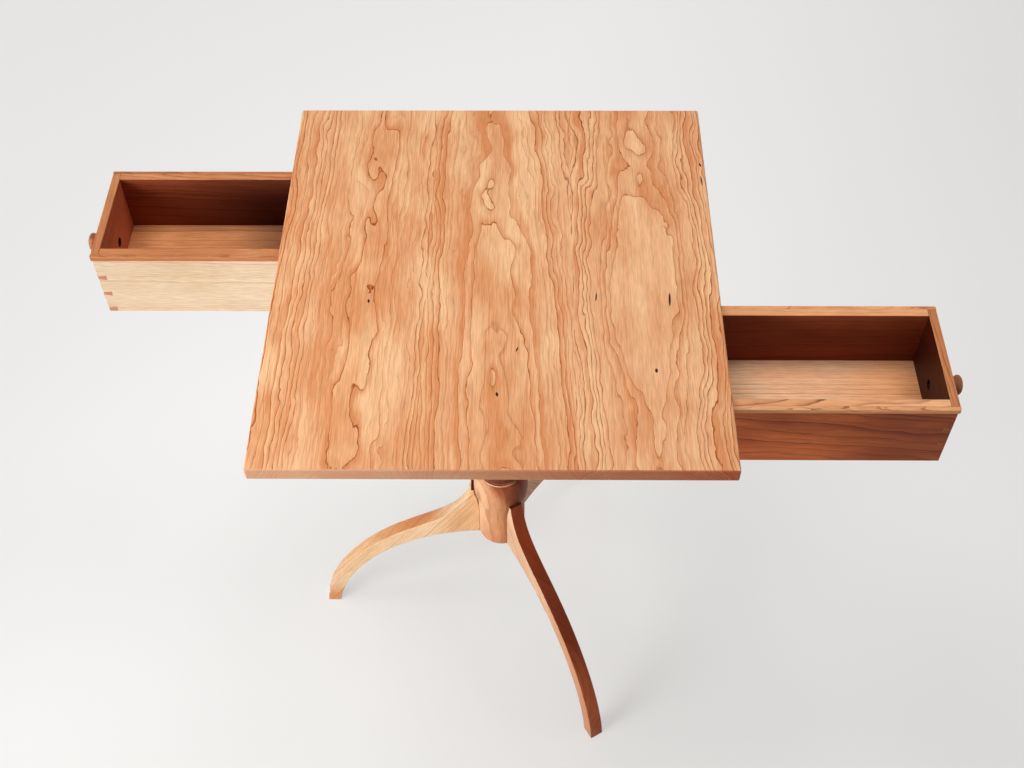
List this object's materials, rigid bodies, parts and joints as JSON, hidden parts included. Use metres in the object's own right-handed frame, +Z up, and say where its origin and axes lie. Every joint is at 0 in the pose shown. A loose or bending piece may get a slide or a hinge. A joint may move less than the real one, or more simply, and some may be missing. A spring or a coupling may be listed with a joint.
{
  "type": "sewing stand",
  "caption": "Shaker-style sewing stand: flat rectangular top on a turned post with arched legs, and dovetailed drawers that hang by lips under the top and slide out at either end.",
  "frame": {"origin": "middle of the footprint on the floor, with the drawers drawn out as they are stored", "axes": "+X along the drawers' run, to the right seen from the front; +Y from front to back; +Z up"},
  "size_m": [0.9366, 0.508, 0.6675],
  "materials": {
    "cherry_top": "oiled cherry, satin, strong brown grain",
    "cherry": "oiled cherry, satin",
    "cherry_pale": "cherry sapwood, satin",
    "cherry_dark": "cherry end grain, oiled",
    "steel": "plain steel"
  },
  "bodies": {
    "stand": {"top": "cherry_top", "centre_cleat": "cherry", "rear_hanger": "cherry", "front_hanger": "cherry", "post": "cherry", "post_wedge": "cherry_dark", "left_leg": "cherry", "front_leg": "cherry", "rear_leg": "cherry", "cleat_screw_1": "steel", "cleat_screw_2": "steel", "cleat_screw_3": "steel", "cleat_screw_4": "steel", "rear_hanger_screw_1": "steel", "rear_hanger_screw_2": "steel", "rear_hanger_screw_3": "steel", "front_hanger_screw_1": "steel", "front_hanger_screw_2": "steel", "front_hanger_screw_3": "steel"},
    "rear_drawer": {"rear_drawer_left_end": "cherry", "rear_drawer_right_end": "cherry", "rear_drawer_outer_side": "cherry", "rear_drawer_inner_side": "cherry", "rear_drawer_bottom": "cherry_pale", "rear_drawer_outer_lip": "cherry", "rear_drawer_inner_lip": "cherry", "rear_drawer_left_knob": "cherry", "rear_drawer_right_knob": "cherry"},
    "front_drawer": {"front_drawer_left_end": "cherry", "front_drawer_right_end": "cherry", "front_drawer_outer_side": "cherry", "front_drawer_inner_side": "cherry", "front_drawer_bottom": "cherry_pale", "front_drawer_outer_lip": "cherry", "front_drawer_inner_lip": "cherry", "front_drawer_left_knob": "cherry", "front_drawer_right_knob": "cherry"}
  },
  "joints": [
    {"name": "rear_drawer_slide", "type": "slide", "parent": "stand", "child": "rear_drawer", "axis": [1, 0, 0], "range_m": [-0.0445, 0.4955]},
    {"name": "front_drawer_slide", "type": "slide", "parent": "stand", "child": "front_drawer", "axis": [1, 0, 0], "range_m": [-0.512, 0.028]}
  ]
}
